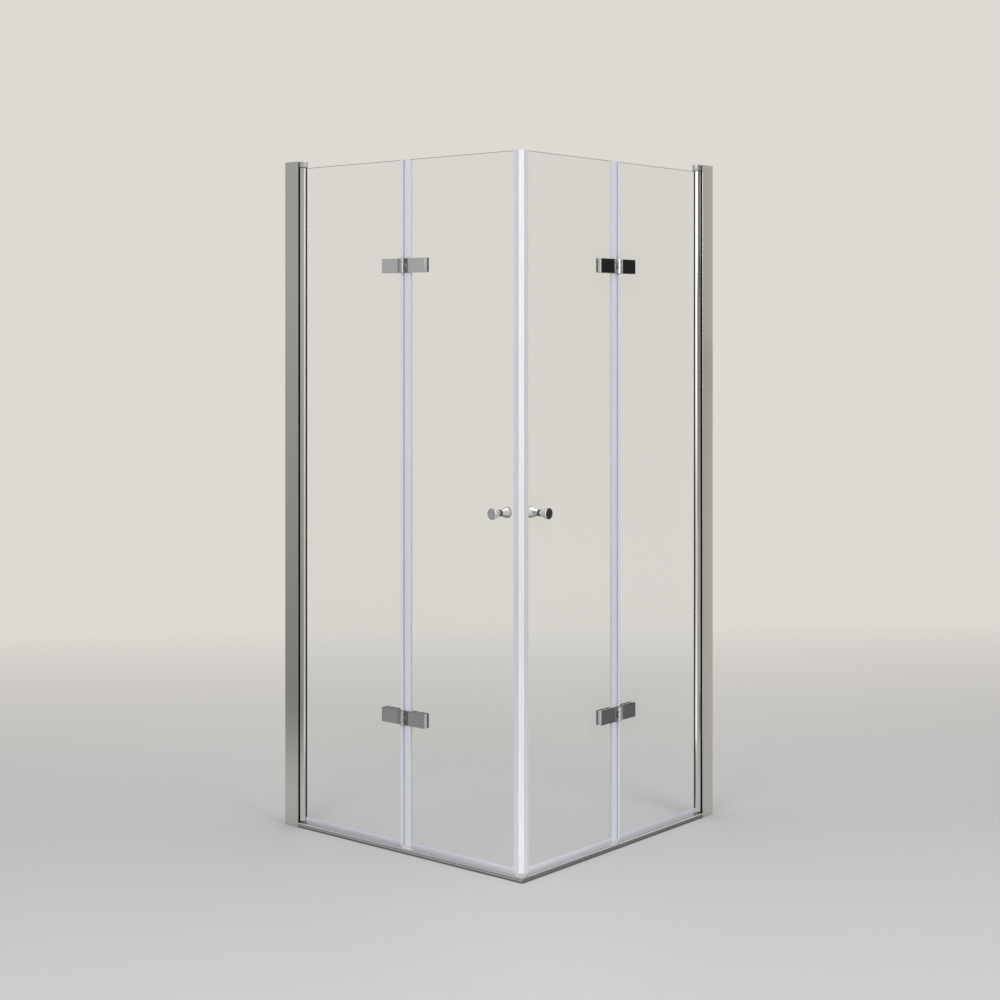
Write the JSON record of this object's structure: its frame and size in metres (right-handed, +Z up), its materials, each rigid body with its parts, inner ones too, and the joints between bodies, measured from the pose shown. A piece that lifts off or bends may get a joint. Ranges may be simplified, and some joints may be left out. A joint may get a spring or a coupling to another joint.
{
  "type": "folding shower enclosure",
  "caption": "Corner-entry shower enclosure: bifold clear-glass doors on pivoting wall profiles, glass-to-glass hinges, conical knobs, magnetic corner seals and a low threshold rail.",
  "frame": {"origin": "middle of the bounding box on the tray plane, doors closed", "axes": "+Z up; the left door closes the side that faces -Y and its wall is on the -X side; the right door closes the side that faces +X and its wall is on the +Y side"},
  "size_m": [0.921, 0.921, 1.95],
  "materials": {
    "glass": "clear toughened, polished edges",
    "profile_aluminium": "bright polished",
    "mill_aluminium": "plain extruded",
    "chrome": "mirror polished",
    "steel": "plain stainless",
    "clear_seal": "clear flexible strip, slightly milky",
    "clear_pad": "clear soft pad",
    "dark_rubber": "matt",
    "bush_plastic": "moulded",
    "magnet": "bonded ferrite in a white sleeve"
  },
  "bodies": {
    "frame": {"left_wall_channel": "mill_aluminium", "left_wall_profile": "profile_aluminium", "left_set_screws": "steel", "left_top_pivot_block": "chrome", "left_bottom_pivot_block": "chrome", "left_threshold_rail": "profile_aluminium", "left_pivot_pins": "steel", "right_wall_channel": "mill_aluminium", "right_wall_profile": "profile_aluminium", "right_set_screws": "steel", "right_top_pivot_block": "chrome", "right_bottom_pivot_block": "chrome", "right_threshold_rail": "profile_aluminium", "right_pivot_pins": "steel", "rail_corner_joiner": "bush_plastic"},
    "left_wall_leaf": {"left_rotating_profile": "profile_aluminium", "left_pivot_bushes": "bush_plastic", "left_glazing_gasket": "dark_rubber", "left_wall_glass": "glass", "left_wall_drip_seal": "clear_seal", "left_wall_fold_seal": "clear_seal", "left_wall_hinge_plates": "chrome", "left_wall_hinge_back_plates": "chrome", "left_wall_hinge_gaskets": "clear_pad", "left_wall_hinge_screws": "steel"},
    "left_door_leaf": {"left_door_glass": "glass", "left_door_drip_seal": "clear_seal", "left_door_fold_seal": "clear_seal", "left_magnetic_seal": "clear_seal", "left_magnet_strip": "magnet", "left_door_hinge_plates": "chrome", "left_hinge_pins": "steel", "left_door_hinge_back_plates": "chrome", "left_door_hinge_gaskets": "clear_pad", "left_door_hinge_screws": "steel", "left_knobs": "chrome", "left_knob_stud": "steel"},
    "right_wall_leaf": {"right_rotating_profile": "profile_aluminium", "right_pivot_bushes": "bush_plastic", "right_glazing_gasket": "dark_rubber", "right_wall_glass": "glass", "right_wall_drip_seal": "clear_seal", "right_wall_fold_seal": "clear_seal", "right_wall_hinge_plates": "chrome", "right_wall_hinge_back_plates": "chrome", "right_wall_hinge_gaskets": "clear_pad", "right_wall_hinge_screws": "steel"},
    "right_door_leaf": {"right_door_glass": "glass", "right_door_drip_seal": "clear_seal", "right_door_fold_seal": "clear_seal", "right_magnetic_seal": "clear_seal", "right_magnet_strip": "magnet", "right_door_hinge_plates": "chrome", "right_hinge_pins": "steel", "right_door_hinge_back_plates": "chrome", "right_door_hinge_gaskets": "clear_pad", "right_door_hinge_screws": "steel", "right_knobs": "chrome", "right_knob_stud": "steel"}
  },
  "joints": [
    {"name": "left_fold", "type": "hinge", "parent": "frame", "child": "left_wall_leaf", "pos_m": [-0.4005, -0.4265, 0.975], "axis": [0, 0, 1], "range_deg": [0, 86]},
    {"name": "left_leaf_hinge", "type": "hinge", "parent": "left_wall_leaf", "child": "left_door_leaf", "pos_m": [0.0065, -0.4395, 1.005], "axis": [0, 0, -1], "range_deg": [0, 172]},
    {"name": "right_fold", "type": "hinge", "parent": "frame", "child": "right_wall_leaf", "pos_m": [0.4265, 0.4005, 0.975], "axis": [0, 0, -1], "range_deg": [0, 86]},
    {"name": "right_leaf_hinge", "type": "hinge", "parent": "right_wall_leaf", "child": "right_door_leaf", "pos_m": [0.4395, -0.0065, 1.005], "axis": [0, 0, 1], "range_deg": [0, 172]}
  ],
  "couplings": [
    {"joint": "left_leaf_hinge", "follows": "left_fold", "ratio": 2},
    {"joint": "right_leaf_hinge", "follows": "right_fold", "ratio": 2}
  ]
}
